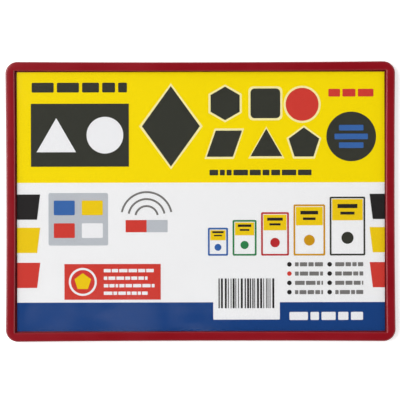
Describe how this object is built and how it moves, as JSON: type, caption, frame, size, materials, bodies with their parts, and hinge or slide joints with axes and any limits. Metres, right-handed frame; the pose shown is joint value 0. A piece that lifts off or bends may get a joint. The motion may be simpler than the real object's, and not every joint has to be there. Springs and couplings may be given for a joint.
{
  "type": "magnetic document pocket",
  "caption": "Flat rigid pocket with a moulded frame and a clear front over a landscape sheet, open on one short side, with flexible magnet strips along the long sides of its back.",
  "frame": {"origin": "centre of the pocket's outline, at the underside of the magnet strips, which is what it lies on", "axes": "+X along the long side with the pocket's mouth at -X, +Y towards the top of the sheet as it is read, +Z out of the clear front"},
  "size_m": [0.2222, 0.1598, 0.0044],
  "materials": {
    "frame_plastic": "semi-gloss moulded dark red plastic",
    "tray_plastic": "semi-gloss moulded dark red plastic, finely grained outside",
    "clear_plastic": "clear glossy rigid plastic sheet",
    "printed_card": "smooth white card, printed in flat colours on its front",
    "magnet_rubber": "matt dark brown flexible magnet",
    "mounting_tape": "thin off-white double-sided tape"
  },
  "bodies": {
    "root": {"front_frame": "frame_plastic", "front_window": "clear_plastic", "back_tray": "tray_plastic", "insert_card": "printed_card", "magnet_strip_upper": "magnet_rubber", "magnet_strip_lower": "magnet_rubber", "tape_upper": "mounting_tape", "tape_lower": "mounting_tape"}
  },
  "joints": []
}
